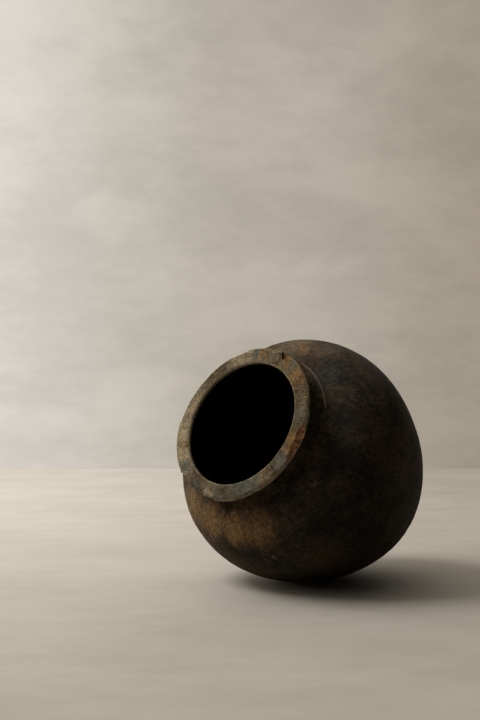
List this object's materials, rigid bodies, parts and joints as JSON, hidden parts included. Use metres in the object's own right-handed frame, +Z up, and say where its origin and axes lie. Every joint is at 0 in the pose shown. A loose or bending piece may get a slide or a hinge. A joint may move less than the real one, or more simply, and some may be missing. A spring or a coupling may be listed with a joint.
{
  "type": "clay pot",
  "caption": "Hand-built, smoke-fired round clay pot with a short neck and a thick flared lip, lying on its side on a small worn flat.",
  "frame": {"origin": "middle of the worn flat on the flank that the pot rests on", "axes": "+Z up; the pot lies on its side with its own axis in the YZ plane, and its mouth points along -Y, 25.5 degrees up; +X to its side"},
  "size_m": [0.25, 0.2715, 0.2478],
  "materials": {
    "body_clay": "matte, smoke-blackened, with brown fire clouds",
    "collar_clay": "matte, smoke-blackened",
    "lip_clay": "matte, worn grey-brown with bare orange-brown clay at the chips"
  },
  "bodies": {
    "root": {"base_bowl": "body_clay", "wall_coil_1": "body_clay", "wall_coil_2": "body_clay", "wall_coil_3": "body_clay", "wall_coil_4": "body_clay", "wall_coil_5": "body_clay", "shoulder_coil": "body_clay", "neck_collar": "collar_clay", "lip_coil": "lip_clay"}
  },
  "joints": []
}
